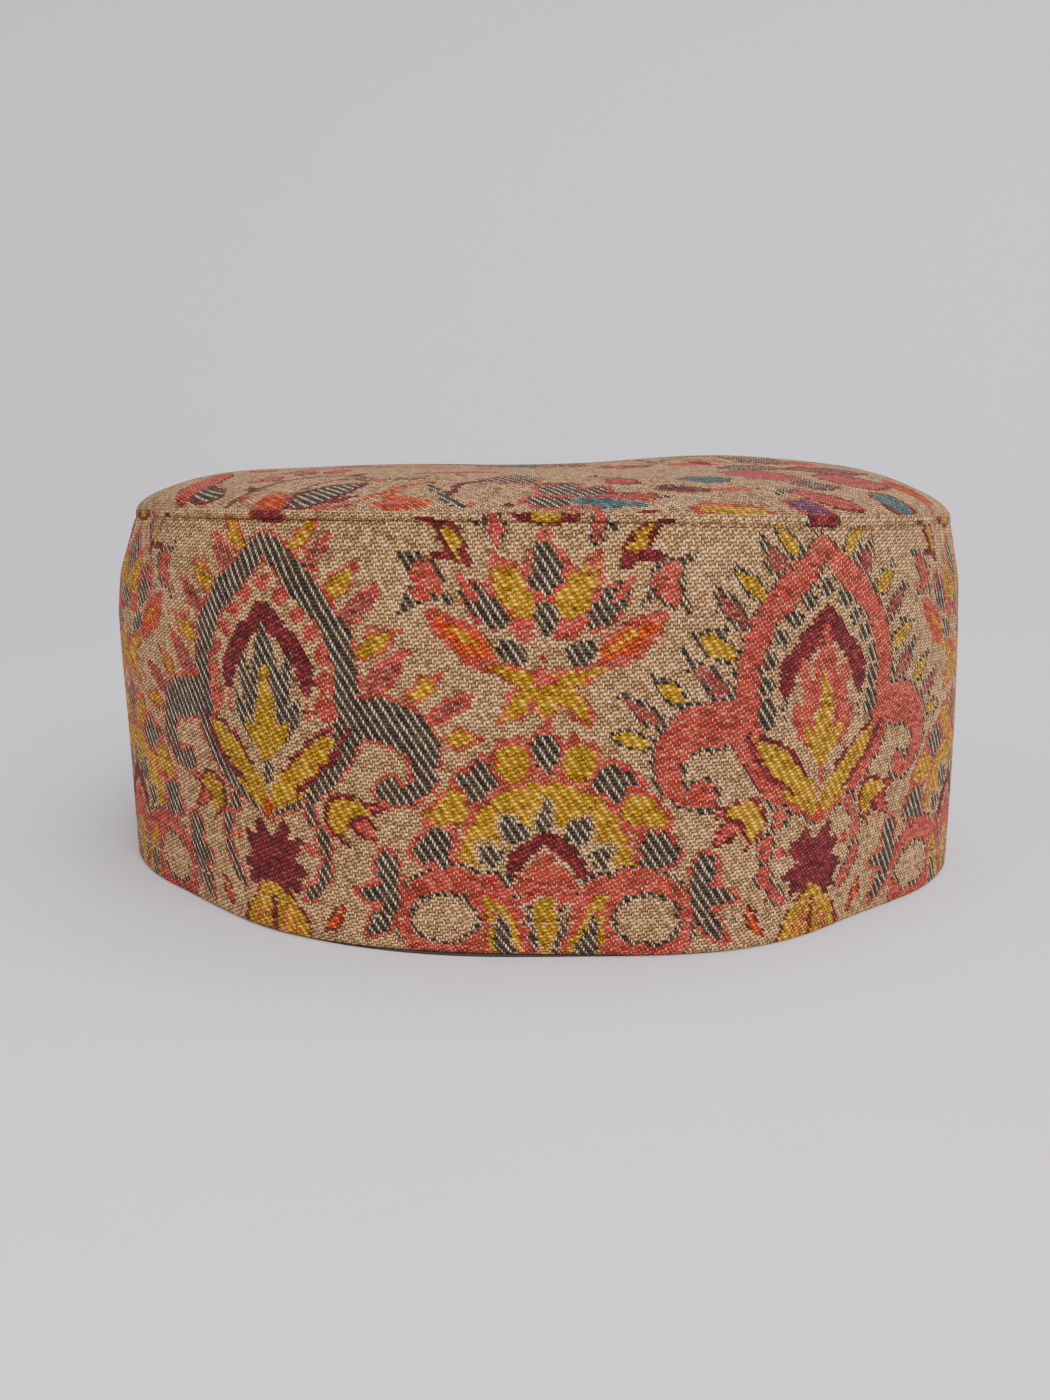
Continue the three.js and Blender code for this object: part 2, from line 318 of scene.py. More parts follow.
# The boteh and what hangs on it are measured from the boteh's own axis. band, rim, seed and flame
# are the threads that change between a coral boteh and a dark one.
boteh = [
    [strokes([[(0, 70.6, 2.6), (2.8, 67.8, 4.6), (6.4, 64.6, 4.9), (11.3, 60.2, 4.9), (15, 55.2, 4.9),
              (16.7, 49.4, 4.5), (16.9, 44, 4.4)], [(17.2, 38.6, 5), (15, 33.4, 3.8), (11.8, 29, 3.1),
              (7.8, 26.4, 2.6), (3.8, 24.4, 2.4), (0, 22.6, 2.4)]], "band", "rim", 0.5),
     strokes([[(15.8, 41, 5.4), (21.8, 41, 7.6), (26.8, 40, 7.4), (30.2, 36.8, 5.8), (30.9, 33, 4.5),
              (29.5, 29.8, 3.3), (27.2, 28, 2.6), (24.8, 27.8, 2.8)]], "band", "rim", 0.7),
     ovals([(24.3, 28.7, 2.4, 2.5)], "band", "rim", 0.7)],
]
botehHeart = [
    [ovals([(0, 63.2, 1.9, 1.5), (4.1, 60.9, 1.6, 1.5), (7.2, 57.9, 1.7, 1.5), (9.9, 54.8, 1.7, 1.5),
            (12.4, 51.1, 1.4, 1.8), (12.9, 46.9, 1.5, 1.8), (12.7, 42.2, 2, 2.7)], "seed"),
     strokes([[(0, 58.8, 3), (3.2, 55.4, 3.7), (6.7, 51.8, 3.9), (8.7, 48.4, 3.9),
              (9.3, 45.2, 2.2)]], "maroon"),
     strokes([[(9, 44.2, 0.8), (9.2, 40.2, 0.7)]], "seed"),
     leaves([(0, 36, 0, 56.8, 6.4), (2.4, 37, 5.6, 51.8, 3.4), (3.6, 35.4, 7.6, 43.8, 3)], "flame")],
    [leaves([(0, 27.4, 0, 33.4, 1.8)], "flame"),
     leaves([(0, 31.6, 0, 47, 4.6)], "yellow", "ground", 0.4),
     leaves([(0, 45.2, 0, 48.8, 2), (0.4, 33.8, 5.2, 39.4, 2.6), (0.2, 23.6, 14.8, 37.8, 5.8)], "yellow"),
     strokes([[(16.8, 38.6, 1.2), (14.4, 34.4, 1.4), (10.9, 30.6, 1.4), (6, 27.2, 0.9)], [(13.8, 38.4, 0.8),
              (9.6, 36.4, 1), (6, 33.4, 0.9), (3.6, 30.4, 0.6)]], "maroon"),
     leaves([(0, 25.4, 0, 21.4, 2)], "orange")],
]
botehRim = [
    [leaves([(4.9, 67.6, 10.6, 74.4, 2.4), (13.2, 61.4, 18.8, 66.2, 2.9), (19.2, 51.6, 25.8, 55.8, 2.7),
             (34, 38, 40, 39, 2.3)], "yellow", "rim", 0.7),
     leaves([(9, 65.2, 13, 70.4, 3)], "crimson", "rim", 0.6),
     leaves([(16.9, 56.9, 22.8, 62.6, 2.4), (32.2, 41.2, 38.6, 45.6, 2.2)], "crimson", "rim", 0.7),
     leaves([(20.6, 45.4, 27.4, 52, 2.8)], "crimson", "rim", 0.8),
     leaves([(28, 44.6, 33.2, 48.4, 2.2)], "yellow", "rim", 0.8),
     ovals([(0.4, 75.6, 3.3, 2.3)], "maroon", "rim", 0.5)],
    [leaves([(11.6, 69.2, 14.2, 72.6, 1.5), (18, 65.6, 19.4, 68, 1.1), (20.6, 61.6, 23.4, 63.8, 1.2),
             (25.6, 50.6, 29, 53.4, 1.7), (32, 47.8, 34.6, 49.8, 1.1)], "rim"),
     strokes([[(20.6, 56.4, 0.7), (26.9, 56.2, 0.8)]], "rim")],
]
bellFlower = [
    [leaves([(16.6, 24.6, 21.8, 20.4, 2.6)], "coral", "maroon", 0.7),
     leaves([(17.6, 25.6, 22.6, 25.6, 1.4)], "coral", "maroon", 0.5)],
    [ovals([(15.7, 25, 2.7, 1.9)], "yellow", "maroon", 0.8),
     leaves([(14.6, 26.6, 15, 20, 4)], "yellow", "maroon", 0.8),
     leaves([(15, 25.8, 20.4, 25, 2.8)], "yellow", "maroon", 0.7),
     leaves([(15, 19.6, 16.4, 17.8, 0.9)], "maroon")],
]
garland = [
    [leaves([(8.2, 25.4, 10.2, 21.2, 2.6), (11, 11.4, 7.2, 7.6, 2.6)], "band", "rim", 0.6),
     leaves([(11.2, 21.2, 12.4, 15.8, 3), (12.8, 15.4, 10.4, 10.6, 2.8)], "band", "rim", 0.7),
     ovals([(8.6, 17.4, 1.2, 1.1)], "coral", "ground", 0.4),
     leaves([(15.2, 7.4, 11.8, 2.4, 1.6)], "orange", "maroon", 0.5)],
]
starFlower = [
    [ovals([(0, 13.8, 4.7, 5)], "maroon"),
     leaves([(1, 14, 3.3, 21.6, 3.6), (2, 14, 6.6, 18.4, 3.4), (2, 13, 7.6, 12.2, 3.4),
             (2, 12, 6.4, 8.4, 3.2)], "maroon"),
     leaves([(0, -10, 0, 10.2, 15.6)], "yellow", "maroon", 0.9)],
    [leaves([(0, -1, 0, 8.4, 1.5)], "maroon"),
     leaves([(2.3, -1, 1.9, 6.2, 0.9), (4.9, -1, 3.9, 4.6, 0.9)], "coral")],
]
moods = dict(coral=dict(band="coral", rim="dark", seed="dark", flame="coral"),
             dark=dict(band="dark", rim="coral", seed="coral", flame="dark"))

# The crown's sprays, from the seam at the front towards the middle.
sprays = [
    strokes([[(-59.2, -72.2, 1.3), (-54.8, -69.9, 1.4), (-49.8, -63.7, 1.4), (-42.8, -60.2, 1.3),
             (-36.4, -62.9, 1.3), (-30.2, -69.9, 1.3), (-22.6, -72, 1.1)], [(-45.2, -74.8, 1.1),
             (-41.8, -69.9, 1.3), (-36, -67.2, 1.3), (-31.4, -71.5, 1.1)], [(-26.4, -69.9, 1.1),
             (-24, -72.8, 1.1), (-21.5, -68.3, 1.3)], [(8.6, -68.6, 1), (12, -70.6, 1.1), (16.4, -72.3, 1)],
             [(-72.4, -33.6, 1.2), (-78.8, -25.2, 1.4), (-81.6, -14, 1.3), (-86.4, -3, 1.1)]], "brown"),
    strokes([[(-50.4, -52, 1.6), (-46.8, -44.3, 1.9), (-40, -39.7, 1.9),
             (-32.8, -36.5, 1.6)]], "coral", "maroon", 0.4),
    strokes([[(-31.4, -83.5, 1.6), (-26.4, -79.6, 1.9), (-20.4, -75.6, 1.4)], [(-27.1, -85.4, 1.3),
             (-26, -80, 1.3)]], "orange"),
    strokes([[(-20.7, -76.3, 1.4), (-18.1, -83.7, 1.6), (-16.5, -87.4, 1.9), (-14.6, -90.4, 2.2)],
             [(40.9, -75.6, 1.1), (42.6, -73.5, 1.4), (45.8, -68.9, 1.4)]], "dark"),
    strokes([[(-16.5, -84.9, 1.6), (-14.5, -78.1, 1.9), (-11, -74.9, 1.6)]], "maroon"),
    leaves([(-60.1, -66.9, -72.6, -48.2, 5)], "dark", "maroon", 1),
    leaves([(-55.9, -71.6, -52.9, -71.8, 1.8), (-31.5, -69.3, -28.9, -73.3, 1.8),
            (-22.1, -78.2, -20.5, -75.4, 1.5), (27.7, -86.4, 37.5, -83.8, 2.2),
            (-57, -57.4, -52.6, -60.6, 1.6), (-41, -83.4, -31.6, -86.2, 1.3),
            (-13.5, -89.4, -10.9, -89.6, 1.6), (28, -76.9, 38.8, -73.3, 2.2)], "coral"),
    leaves([(-52.7, -69.1, -54.8, -64.1, 2.2), (-35.9, -63.8, -34.2, -57.4, 2.4),
            (-43.2, -77.8, -36.1, -77.9, 1.6), (-37.2, -83, -32.9, -81.1, 1.8),
            (-16.7, -65.8, -14.5, -69.6, 1.9), (-7.7, -91, -5.2, -90, 1.6), (10.1, -69.4, 8.9, -65.5, 1.5),
            (13.8, -73.9, 16.2, -71.2, 1.5), (30.5, -37.3, 34.8, -42.7, 2.8),
            (15.8, -91.7, 20.7, -91.3, 1.5)], "maroon"),
    leaves([(-50.5, -60.7, -53.1, -54.6, 2.6), (-46.8, -56.3, -45.7, -49.3, 2.8),
            (-41.1, -56.2, -39.5, -47.6, 3), (-1, -81, 2.6, -77.1, 2.8)], "coral", "maroon", 0.8),
    leaves([(-18.9, -82.7, -20.3, -78.7, 1.6), (3.1, -78.7, 5.1, -76.5, 1.7),
            (62.5, -61.3, 68.9, -59.9, 2.2)], "dark"),
    leaves([(7.7, -81.8, 10.8, -79.3, 2.4)], "dark", "coral", 0.8),
    leaves([(21, -76.8, 27.1, -79.1, 2.6)], "dark", "maroon", 0.8),
    leaves([(36, -46, 47.7, -43.4, 4.4)], "dark", "maroon", 1.2),
    leaves([(49.8, -43.4, 67.1, -36.1, 6)], "crimson", "maroon", 1.2),
    leaves([(72.6, -44, 78.9, -44.7, 3.2)], "orange", "coral", 0.9),
    leaves([(74.1, -26.5, 77.8, -32.2, 3.8), (11.4, -47.5, 21.2, -45.4, 4), (-9.5, -58.2, -24, -62, 6),
            (44.4, -72.7, 58, -72.2, 5.2), (-79.6, -24.8, -88.6, -20.4, 4.2)], "coral", "maroon", 0.9),
    leaves([(-67.6, -64, -64.4, -42.1, 5.6)], "coral", "maroon", 0.6),
    leaves([(-48.7, -80.2, -49.2, -73, 4.6)], "orange", "coral", 1.1, profile="seed"),
    leaves([(-61.2, -36.5, -54.7, -44.5, 4.5)], "coral", "orange", 0.9),
    leaves([(-45, -80.6, -32.9, -73.9, 7.4)], "dark", "maroon", 1.3),
    leaves([(-28.6, -86.8, -20.4, -87.8, 3.4)], "coral", "orange", 1.1),
    leaves([(-11, -74.8, -1.2, -72.4, 8.6)], "dark", "coral", 1.3, profile="drop"),
    leaves([(-1, -84.2, 5.4, -79, 5.8), (-3.4, -89, 5.2, -88.4, 5),
            (3.9, -84.8, 11.2, -82.3, 4.8)], "dark", "coral", 1.3),
    leaves([(5.8, -87.2, 20.4, -83.7, 4.2)], "coral", "maroon", 0.9),
    leaves([(19.5, -83.9, 22.8, -83.1, 1.6)], "dark"),
    leaves([(4, -88.2, 17.6, -89, 4.4)], "teal", "ground", 0.9),
    ovals([(6.7, -92.2, 1.3, 0.8)], "ground", "coral", 1.1),
    leaves([(11.2, -72.2, 16.4, -75.2, 5.2)], "coral", "maroon", 1),
    leaves([(33.4, -66.3, 25, -70, 5.6)], "teal", "purple", 1.1),
    leaves([(19.4, -78.9, 28.8, -78, 3)], "maroon", "brown", 0.9),
    leaves([(34.4, -55.4, 49.4, -57.6, 13.6)], "coral", "dark", 1.4),
    leaves([(46.2, -64.4, 54.8, -61.4, 4.6)], "dark", "maroon", 1),
    leaves([(53.6, -54.4, 68.6, -46.4, 10.6)], "coral", "maroon", 1.2),
    leaves([(42.7, -79.4, 50.6, -78.1, 4.2)], "purple", "coral", 0.9),
    leaves([(39.5, -85, 25.4, -88.4, 4)], "yellow", "coral", 1.1),
    leaves([(61.5, -62.9, 70.2, -61.5, 6.6)], "teal", "maroon", 1.4),
    leaves([(71.3, -40.3, 77.5, -50.4, 6.6)], "orange", "coral", 1.4),
    leaves([(-77.8, -21.6, -73.6, -8.6, 5)], "dark", "coral", 1),
    leaves([(-82.4, -12.6, -90.2, -9.2, 3.6)], "yellow", "coral", 0.9),
    leaves([(-80.4, -10.2, -79.8, 1, 4.4)], "crimson", "maroon", 0.9),
]


# Paints each layer of each motif: first all its outlines, then its fills.
def paint(cells, x, y, motifs, mood):
    for rows in [layer for motif in motifs for layer in motif]:
        drawn = []
        for shape, places, fill, outline, edge in rows:
            for away in [shape(x, y, *place) for place in places]:
                drawn.append((away, mood.get(fill, fill)))
                if outline:
                    cells[away < edge] = dyeNames.index(mood.get(outline, outline))
        for away, fill in drawn:
            cells[away < 0] = dyeNames.index(fill)


# Hand of the weaver: the place shifted by sines of itself, a few tenths of a millimetre.
def unsteady(u, v):
    return (u + 0.18 * np.sin(v * 0.83 + u * 0.11) + 0.12 * np.sin(u * 0.47 + 1.3),
            v + 0.16 * np.sin(u * 0.61 + v * 0.07 + 0.6) + 0.10 * np.sin(u * 1.31))


# The band's pattern at u round from the front and height v: a palmette over a fan, then a boteh, by turns.
def bandPattern(u, v, repeat=103.4):
    u, v = unsteady(u, v)
    cells = np.zeros(np.shape(u), int)
    place = np.floor(u / repeat)
    x = np.abs((u + repeat / 2) % repeat - repeat / 2)
    for mood, odd in ((moods["coral"], 0), (moods["dark"], 1)):
        here = place % 2 == odd
        some, px, py = cells[here], x[here], v[here]
        hanging = [botehRim, boteh, botehHeart, bellFlower, garland, starFlower]
        paint(some, repeat / 2 - px, py, hanging, mood)
        paint(some, px, py, [palmette, fan, fanPetals, wheel, oakSpray], mood)
        cells[here] = some
    return cells


# The crown's pattern: the sprays, repeated every 46 mm from front to back, and mirrored by turns.
def crownPattern(x, y, repeat=46.0):
    x, y = unsteady(x, y)
    cells = np.zeros(np.shape(x), int)
    for i in (4, 3, 2, 1, 0):
        paint(cells, (x if i % 2 == 0 else -x + 6), y - repeat * i, [[sprays]], {})
    return cells


# Node helpers: one step of arithmetic, a range mapped to another, a mix of colours, and noise.
def mathStep(tree, operation, *values):
    node = tree.nodes.new("ShaderNodeMath")
    node.operation = operation
    for socket, value in zip(node.inputs, values):
        if isinstance(value, (int, float)):
            socket.default_value = value
        else:
            tree.links.new(value, socket)
    return node.outputs[0]


def stretch(tree, value, low, high, toLow, toHigh, kind="LINEAR"):
    node = tree.nodes.new("ShaderNodeMapRange")
    node.interpolation_type = kind
    tree.links.new(value, node.inputs["Value"])
    for name, number in (("From Min", low), ("From Max", high), ("To Min", toLow), ("To Max", toHigh)):
        node.inputs[name].default_value = number
    return node.outputs["Result"]


def mixColours(tree, share, first, second, kind="MIX"):
    node = tree.nodes.new("ShaderNodeMix")
    node.data_type, node.blend_type = "RGBA", kind
    for socket, value in ((node.inputs[0], share), (node.inputs[6], first), (node.inputs[7], second)):
        if isinstance(value, bpy.types.NodeSocket):
            tree.links.new(value, socket)
        else:
            socket.default_value = value
    return node.outputs[2]


def noiseAt(tree, place, scale, detail=2.0):
    node = tree.nodes.new("ShaderNodeTexNoise")
    node.inputs["Scale"].default_value = scale
    node.inputs["Detail"].default_value = detail
    tree.links.new(place, node.inputs["Vector"])
    return node


# The twill: how far its threads sway, waver and slip, in threads or millimetres, and how high, long and wide
# a bar of each shows. between is the height of what lies between two wefts.
twillLook = dict(swayScale=0.35, waverScale=1.3, sway=0.22, waver=0.16, slip=0.14, spare=0.16,
                 warpCrest=1.1, warpLong=1.0, warpWide=0.54, coverLong=0.4, coverWide=0.2,
                 weftCrest=1.08, weftLong=1.7, weftWide=0.6, warpOver=(0.1, 0.4), weftSolid=(0.45, 0.8),
                 thinShare=0.6, between=0.53, coverBetween=0.02)


# Two-and-two twill on a flat place in millimetres: each weft thread passes over two warps and under two,
# one warp further along in each row. A thread shows as a bar: its crest, less the squares of the shares
# along and across it. The more a weft covers, the shorter and thinner the warps' bars; between two wefts
# the warps below show through.
def makeTwill():
    tree = bpy.data.node_groups.new("twill", "ShaderNodeTree")
    inputs = (("Place", "NodeSocketVector", None), ("Warp pitch", "NodeSocketFloat", warpPitch),
              ("Weft pitch", "NodeSocketFloat", weftPitch), ("Cover", "NodeSocketFloat", 0.0))
    for name, kind, value in inputs:
        socket = tree.interface.new_socket(name, in_out="INPUT", socket_type=kind)
        if value is not None:
            socket.default_value = value
    for name in ("Weft", "Height", "Tone"):
        tree.interface.new_socket(name, in_out="OUTPUT", socket_type="NodeSocketFloat")
    given, made = tree.nodes.new("NodeGroupInput"), tree.nodes.new("NodeGroupOutput")
    look, cover = twillLook, given.outputs["Cover"]

    def step(operation, *values):
        return mathStep(tree, operation, *values)

    def blend(share, first, second):
        rest = step("MULTIPLY", step("SUBTRACT", 1.0, share), second)
        return step("ADD", step("MULTIPLY", share, first), rest)

    parts = tree.nodes.new("ShaderNodeSeparateXYZ")
    tree.links.new(given.outputs["Place"], parts.inputs[0])
    sway = noiseAt(tree, given.outputs["Place"], look["swayScale"], 1.0)
    waver = noiseAt(tree, given.outputs["Place"], look["waverScale"], 1.0)
    swayX = step("ADD", stretch(tree, sway.outputs["Fac"], 0, 1, -look["sway"], look["sway"]),
                 stretch(tree, waver.outputs["Fac"], 0, 1, -look["waver"], look["waver"]))
    waverY = stretch(tree, waver.outputs["Fac"], 0.2, 0.8, look["slip"], -look["slip"])
    a = step("DIVIDE", step("ADD", parts.outputs["X"], swayX), given.outputs["Warp pitch"])
    b = step("DIVIDE", parts.outputs["Y"], given.outputs["Weft pitch"])
    bLoose = step("ADD", b, waverY)
    row, column = step("FLOOR", b), step("FLOOR", a)
    alongWeft = step("WRAP", step("ADD", a, row), 2.0, -2.0)
    alongWarp = step("WRAP", step("ADD", step("ADD", bLoose, column), 2.0), 2.0, -2.0)
    acrossWeft = step("SUBTRACT", step("FRACT", b), 0.5)
    acrossWarp = step("SUBTRACT", step("FRACT", a), 0.5)

    def speck(along, line):
        noise = tree.nodes.new("ShaderNodeTexWhiteNoise")
        noise.noise_dimensions = "2D"
        spot = tree.nodes.new("ShaderNodeCombineXYZ")
        tree.links.new(step("FLOOR", step("DIVIDE", along, 4.0)), spot.inputs[0])
        tree.links.new(line, spot.inputs[1])
        tree.links.new(spot.outputs[0], noise.inputs["Vector"])
        return noise.outputs["Value"]

    weftTone = speck(step("ADD", step("ADD", a, row), 2.0), row)
    warpTone = speck(step("ADD", step("ADD", bLoose, column), 4.0), column)

    def bar(crest, along, length, across, width):
        end = step("POWER", step("ABSOLUTE", step("DIVIDE", along, length)), 2.0)
        side = step("POWER", step("ABSOLUTE", step("DIVIDE", across, width)), 2.0)
        return step("SUBTRACT", step("SUBTRACT", crest, end), side)

    spare = stretch(tree, warpTone, 0, 1, -look["spare"], look["spare"])
    shorter = step("SUBTRACT", look["warpLong"], step("MULTIPLY", cover, look["coverLong"]))
    wide = step("SUBTRACT", look["warpWide"], step("MULTIPLY", cover, look["coverWide"]))
    warp = bar(look["warpCrest"], alongWarp, step("ADD", shorter, spare), acrossWarp, wide)
    weft = bar(look["weftCrest"], alongWeft, look["weftLong"], acrossWeft, look["weftWide"])
    onTop = stretch(tree, warp, *look["warpOver"], 1, 0, "SMOOTHSTEP")
    solid = stretch(tree, weft, *look["weftSolid"], 0, 1, "SMOOTHSTEP")
    dyed = step("ADD", look["thinShare"], step("MULTIPLY", solid, 1 - look["thinShare"]))
    between = step("ADD", look["between"], step("MULTIPLY", cover, look["coverBetween"]))
    tree.links.new(step("MULTIPLY", onTop, dyed), made.inputs["Weft"])
    tree.links.new(blend(onTop, blend(solid, weft, between), warp), made.inputs["Height"])
    tree.links.new(blend(onTop, weftTone, warpTone), made.inputs["Tone"])
    return tree


# Soft unevenness of dyed cloth: slow noise that lightens and darkens.
def makeFading():
    tree = bpy.data.node_groups.new("fading", "ShaderNodeTree")
    for name, kind in (("Place", "NodeSocketVector"), ("Size", "NodeSocketFloat")):
        tree.interface.new_socket(name, in_out="INPUT", socket_type=kind)
    tree.interface.new_socket("Shade", in_out="OUTPUT", socket_type="NodeSocketFloat")
    given, made = tree.nodes.new("NodeGroupInput"), tree.nodes.new("NodeGroupOutput")
    noise = noiseAt(tree, given.outputs["Place"], 1.0, 3.0)
    tree.links.new(given.outputs["Size"], noise.inputs["Scale"])
    tree.links.new(stretch(tree, noise.outputs["Fac"], 0.25, 0.75, 0.88, 1.1), made.inputs["Shade"])
    return tree


twill, fading = makeTwill(), makeFading()


def group(tree, nodes, **values):
    node = tree.nodes.new("ShaderNodeGroup")
    node.node_tree = nodes
    for name, value in values.items():
        socket = node.inputs[name.replace("_", " ")]
        if isinstance(value, bpy.types.NodeSocket):
            tree.links.new(value, socket)
        else:
            socket.default_value = value
    return node


def newMaterial(name, roughness, sheen=0.0):
    material = bpy.data.materials.new(name)
    material.use_nodes = True
    shader = material.node_tree.nodes["Principled BSDF"]
    shader.inputs["Roughness"].default_value = roughness
    shader.inputs["Sheen Weight"].default_value = sheen
    shader.inputs["Sheen Roughness"].default_value = 0.45
    return material, material.node_tree, shader


def bump(tree, shader, height, distance, strength=1.0):
    node = tree.nodes.new("ShaderNodeBump")
    node.inputs["Distance"].default_value = distance
    node.inputs["Strength"].default_value = strength
    tree.links.new(height, node.inputs["Height"])
    tree.links.new(node.outputs[0], shader.inputs["Normal"])


def clothPlace(tree):
    node = tree.nodes.new("ShaderNodeUVMap")
    node.uv_map = "cloth"
    return node.outputs["UV"]


# A colour times a grey shade.
def shaded(tree, colour, shade):
    grey = tree.nodes.new("ShaderNodeCombineColor")
    for socket in grey.inputs[:3]:
        tree.links.new(shade, socket)
    return mixColours(tree, 1.0, colour, grey.outputs[0], "MULTIPLY")


# Warps grow grey by greyShare where the weft's cover is greyAt, the dark thread's, and take on its colour by
# the cube of its cover. gap is the range of painted shade that the threads' height gives, darkest in the
# gaps between threads, and tone the range of the floats' own uneven tone.
# The crown's warp is darker than the band's, a painted shade on the crown's top.
kani = dict(warp=(212, 167, 115), shadedCrownWarp=(197, 155, 112), greyWarp=(212, 190, 160),
            greyAt=0.36, greySpread=0.2, greyShare=0.85, gap=(0.38, 1.0, 0.0, 1.26), tone=(0.5, 1.42),
            fadingSize=0.06, roughness=0.9, matt=(0.95, 0.8), sheen=0.03, relief=0.0002, specular=0.17)


# Kani cloth: beige warps over wefts in the colours of the chart, with painted shade in the gaps between
# threads.
def kaniCloth(name, warp):
    material, tree, shader = newMaterial(name, kani["roughness"], kani["sheen"])
    shader.inputs["Specular IOR Level"].default_value = kani["specular"]
    place = clothPlace(tree)
    thread = tree.nodes.new("ShaderNodeAttribute")
    thread.attribute_name = "thread"
    weave = group(tree, twill, Place=place, Cover=thread.outputs["Alpha"])
    fluff = mathStep(tree, "POWER", thread.outputs["Alpha"], 3.0)
    away = mathStep(tree, "ABSOLUTE", mathStep(tree, "SUBTRACT", thread.outputs["Alpha"], kani["greyAt"]))
    grey = stretch(tree, away, 0, kani["greySpread"], kani["greyShare"], 0)
    warpColour = mixColours(tree, grey, (*light(warp), 1), (*light(kani["greyWarp"]), 1))
    warpColour = mixColours(tree, fluff, warpColour, thread.outputs["Color"])
    colour = mixColours(tree, weave.outputs["Weft"], warpColour, thread.outputs["Color"])
    gap = stretch(tree, weave.outputs["Height"], *kani["gap"])
    tone = stretch(tree, weave.outputs["Tone"], 0, 1, *kani["tone"])
    uneven = group(tree, fading, Place=place, Size=kani["fadingSize"])
    # The shade is painted shade in the gaps between threads, times the floats' own uneven tone and slow
    # unevenness.
    shade = mathStep(tree, "MULTIPLY", mathStep(tree, "MULTIPLY", gap, tone), uneven.outputs["Shade"])
    tree.links.new(shaded(tree, colour, shade), shader.inputs["Base Color"])
    tree.links.new(stretch(tree, weave.outputs["Height"], 0, 1, *kani["matt"]), shader.inputs["Roughness"])
    bump(tree, shader, weave.outputs["Height"], kani["relief"])
    return material


liningLook = dict(colour=(40, 29, 26), crestLighter=1.7, crestShare=0.8, warpPitch=0.28, weftPitch=0.3,
                  fadingSize=0.05, roughness=0.62, sheen=0.3, relief=0.00006)


# Lining: a fine plain dark twill, lighter on its crests.
def liningCloth():
    look = liningLook
    material, tree, shader = newMaterial("lining cloth", look["roughness"], look["sheen"])
    place = clothPlace(tree)
    weave = group(tree, twill, Place=place, Warp_pitch=look["warpPitch"], Weft_pitch=look["weftPitch"])
    crest = stretch(tree, weave.outputs["Height"], 0, 1, 0, look["crestShare"])
    dark = light(look["colour"])
    colour = mixColours(tree, crest, (*dark, 1), (*(dark * look["crestLighter"]), 1))
    uneven = group(tree, fading, Place=place, Size=look["fadingSize"])
    tree.links.new(shaded(tree, colour, uneven.outputs["Shade"]), shader.inputs["Base Color"])
    bump(tree, shader, weave.outputs["Height"], look["relief"])
    return material


threadLook = dict(hemColour=(226, 170, 134), seamColour=(112, 80, 58), alongStripes=14.0, aroundStripes=6.3,
                  hollowShade=0.6, roughness=0.75, sheen=0.05, relief=0.00005)


# Sewing thread: two plies, so its height goes in slanting stripes along the cloth place, with painted shade
# in the hollows between the plies.
def sewingThread(name, colour):
    look = threadLook
    material, tree, shader = newMaterial(name, look["roughness"], look["sheen"])
    parts = tree.nodes.new("ShaderNodeSeparateXYZ")
    tree.links.new(clothPlace(tree), parts.inputs[0])
    slant = mathStep(tree, "ADD", mathStep(tree, "MULTIPLY", parts.outputs["X"], look["alongStripes"]),
                     mathStep(tree, "MULTIPLY", parts.outputs["Y"], look["aroundStripes"]))
    ply = stretch(tree, mathStep(tree, "SINE", slant), -1, 1, 0, 1)
    bright = light(colour)
    plied = mixColours(tree, ply, (*(bright * look["hollowShade"]), 1), (*bright, 1))
    tree.links.new(plied, shader.inputs["Base Color"])
    bump(tree, shader, ply, look["relief"])
    return material


kaniMaterial = kaniCloth("kani cloth", kani["warp"])
# The crown's cloth is the band's kani cloth with that darker warp, a painted shade on the crown's top.
shadedCrownMaterial = kaniCloth("shaded crown cloth", kani["shadedCrownWarp"])
liningMaterial = liningCloth()
hemThread = sewingThread("hem thread", threadLook["hemColour"])
seamThread = sewingThread("seam thread", threadLook["seamColour"])
print("cap: cloths and threads are dyed")

# The side band: a closed section carried round, leaning by half a cell in each row so that its cells
# lie under the weft floats.
band = dict(columns=714, rows=122, thickness=1.6, fold=0.5, top=74.15, innerRows=7, liftTall=3,
            hemHeight=6.5, hemDip=0.22, hemDipTall=0.7, stitchLength=2.35, ditchHeight=75.1, ditchDeep=0.24,
            ditchTall=0.8, ditches=[(-35, 26, -0.9), (38, 30, -1.7), (180, 60, -0.8), (-105, 30, -0.5)],
            seamFrom=34, seamOver=12, folds=(3, 9, 0.10), seamFolds=(11, 8, 0.26), puckers=0.10,
            hemPuckers=0.05, shoulder=(0.15, 3.2, 2.2), slip=(0.2, 0.16),
            corners=[(-49, -0.95, 1.5, 4.0), (54, 0.55, 0.9, 4.0)],
            crease=(-48.5, 76.0, -62.0, 60.0, 0.55, 0.9), perDegree=1.6)


# Height of the ditch under the crown's roll: 75.1, with the seam's dip at the sides, plus bells.
def ditchAt(turn):
    drops = sum(drop * bell(turnTo(turn, at) / spread) for at, spread, drop in band["ditches"])
    return band["ditchHeight"] + (seamAt(turn) - cap["seamHeight"]) + drops


# How much the seam stands out: all of it at the front and the back, nothing round the sides.
def seamShows(turn):
    return softStep((fromSide(turn) - band["seamFrom"]) / band["seamOver"])


# Share of the way along a line and distance from it, for places measured from its start.
def alongLine(x, y, dx, dy):
    along = np.clip((x * dx + y * dy) / (dx * dx + dy * dy), 0, 1)
    return along, np.hypot(x - along * dx, y - along * dy)


